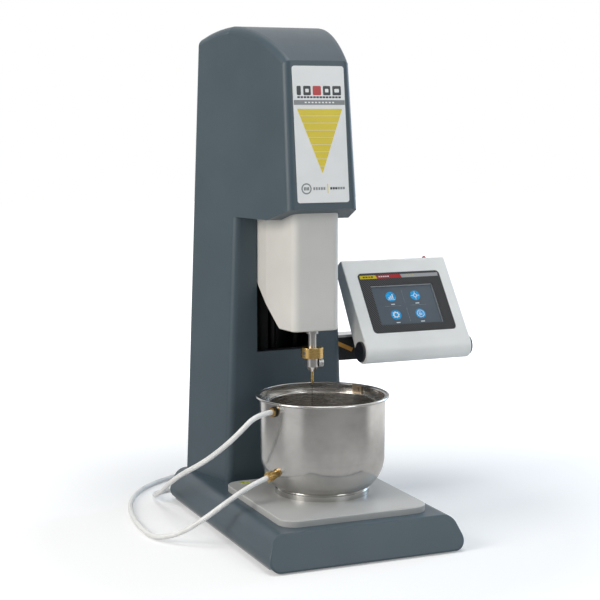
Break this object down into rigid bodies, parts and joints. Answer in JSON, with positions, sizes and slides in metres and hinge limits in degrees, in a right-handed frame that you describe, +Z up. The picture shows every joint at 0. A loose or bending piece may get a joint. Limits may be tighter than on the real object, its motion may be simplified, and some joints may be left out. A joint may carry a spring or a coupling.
{
  "type": "automatic bench penetrometer",
  "caption": "Bench penetrometer: wide base with a platform and jacketed bath, arched column with a sliding needle head, a tilting display and water hoses.",
  "frame": {"origin": "on the table, straight below the needle's axis", "axes": "+X to the operator's right, +Y towards the back of the column, +Z up"},
  "size_m": [0.4318, 0.459, 0.5805],
  "materials": {
    "casing_slate": "satin",
    "steel_sheet": "satin",
    "platform_grey": "satin",
    "dark_trim": "matte",
    "level_fluid": "gloss",
    "black_plastic": "matte",
    "label_print": "gloss",
    "machined_aluminium": "satin",
    "ground_steel": "polished",
    "motor_black": "satin",
    "brass": "satin",
    "nose_grey": "satin",
    "turned_steel": "satin",
    "needle_steel": "polished",
    "spun_steel": "polished",
    "seal_rubber": "matte",
    "hose_silicone": "satin",
    "display_white": "satin",
    "display_print": "satin",
    "screen_glass": "gloss",
    "stylus_red": "gloss",
    "arm_black": "satin",
    "ribbon_orange": "satin",
    "foot_rubber": "matte"
  },
  "bodies": {
    "frame": {"arm_top_plate": "machined_aluminium", "base_casing": "casing_slate", "bath_clip": "turned_steel", "bath_vessel": "spun_steel", "bottom_plate": "steel_sheet", "column_casing": "casing_slate", "display_arm": "arm_black", "display_ribbon": "ribbon_orange", "drive_motor": "motor_black", "front_label": "label_print", "guide_rod_left": "ground_steel", "guide_rod_right": "ground_steel", "hose_coil_lower": "hose_silicone", "hose_coil_upper": "hose_silicone", "hose_lower": "hose_silicone", "hose_union_lower": "brass", "hose_union_upper": "brass", "hose_upper": "hose_silicone", "inner_cup": "spun_steel", "level_bezel": "dark_trim", "level_vial": "level_fluid", "lower_bearing_block": "machined_aluminium", "lower_fitting": "brass", "platform": "platform_grey", "port_seal": "seal_rubber", "power_inlet": "black_plastic", "rear_cover": "casing_slate", "slot_liner": "black_plastic", "spine_plate": "machined_aluminium", "upper_bearing_block": "machined_aluminium", "upper_port": "brass"},
    "feet_fl": {"foot_front_left": "foot_rubber"},
    "feet_fr": {"foot_front_right": "foot_rubber"},
    "feet_rl": {"foot_rear_left": "foot_rubber"},
    "feet_rr": {"foot_rear_right": "foot_rubber"},
    "carriage": {"nose_housing": "nose_grey", "carriage_block": "machined_aluminium", "carriage_shelf": "machined_aluminium", "lead_nut": "brass", "guide_bush": "turned_steel", "scale_reader": "black_plastic", "release_magnet": "motor_black"},
    "lead_screw": {"lead_screw": "ground_steel"},
    "spindle": {"spindle": "turned_steel", "weight_collar": "brass", "needle_chuck": "turned_steel", "ferrule": "brass", "needle": "needle_steel", "scale_strip": "turned_steel"},
    "thumb_screw": {"thumb_screw": "turned_steel"},
    "release_pin": {"release_pin": "turned_steel"},
    "display": {"display_front_shell": "display_white", "display_rear_shell": "display_white", "display_bezel": "display_print", "lcd_panel": "screen_glass", "pivot_shaft": "turned_steel", "hinge_cap_left": "black_plastic", "hinge_cap_right": "black_plastic"},
    "stylus": {"stylus": "stylus_red"},
    "switch_rocker": {"switch_rocker": "black_plastic"}
  },
  "joints": [
    {"name": "carriage_slide", "type": "slide", "parent": "frame", "child": "carriage", "axis": [0, 0, 1], "range_m": [-0.02, 0.08]},
    {"name": "screw_turn", "type": "hinge", "parent": "frame", "child": "lead_screw", "pos_m": [0, 0.124, 0.3], "axis": [0, 0, 1], "range_deg": [-725, 2885]},
    {"name": "spindle_drop", "type": "slide", "parent": "carriage", "child": "spindle", "axis": [0, 0, -1], "range_m": [0, 0.034]},
    {"name": "thumb_screw_turn", "type": "hinge", "parent": "spindle", "child": "thumb_screw", "pos_m": [0.008, 0, 0.1936], "axis": [1, 0, 0], "continuous": true},
    {"name": "clutch_release", "type": "slide", "parent": "carriage", "child": "release_pin", "axis": [0, 1, 0], "range_m": [0, 0.002], "stiffness_N_per_m": 600},
    {"name": "display_tilt", "type": "hinge", "parent": "frame", "child": "display", "pos_m": [0.164, 0.06, 0.1915], "axis": [1, 0, 0], "range_deg": [-6, 30]},
    {"name": "stylus_slide", "type": "slide", "parent": "display", "child": "stylus", "axis": [0, 0.6018, 0.7986], "range_m": [0, 0.075]},
    {"name": "switch_rock", "type": "hinge", "parent": "frame", "child": "switch_rocker", "pos_m": [-0.0395, 0.171, 0.02], "axis": [0, 0, 1], "range_deg": [0, 14]},
    {"name": "foot_turn_fl", "type": "hinge", "parent": "frame", "child": "feet_fl", "pos_m": [-0.0955, -0.125, 0], "axis": [0, 0, 1], "continuous": true},
    {"name": "foot_turn_fr", "type": "hinge", "parent": "frame", "child": "feet_fr", "pos_m": [0.0955, -0.125, 0], "axis": [0, 0, 1], "continuous": true},
    {"name": "foot_turn_rl", "type": "hinge", "parent": "frame", "child": "feet_rl", "pos_m": [-0.0955, 0.142, 0], "axis": [0, 0, 1], "continuous": true},
    {"name": "foot_turn_rr", "type": "hinge", "parent": "frame", "child": "feet_rr", "pos_m": [0.0955, 0.142, 0], "axis": [0, 0, 1], "continuous": true}
  ],
  "couplings": [
    {"joint": "screw_turn", "follows": "carriage_slide", "rad_per_m": 628.32}
  ]
}
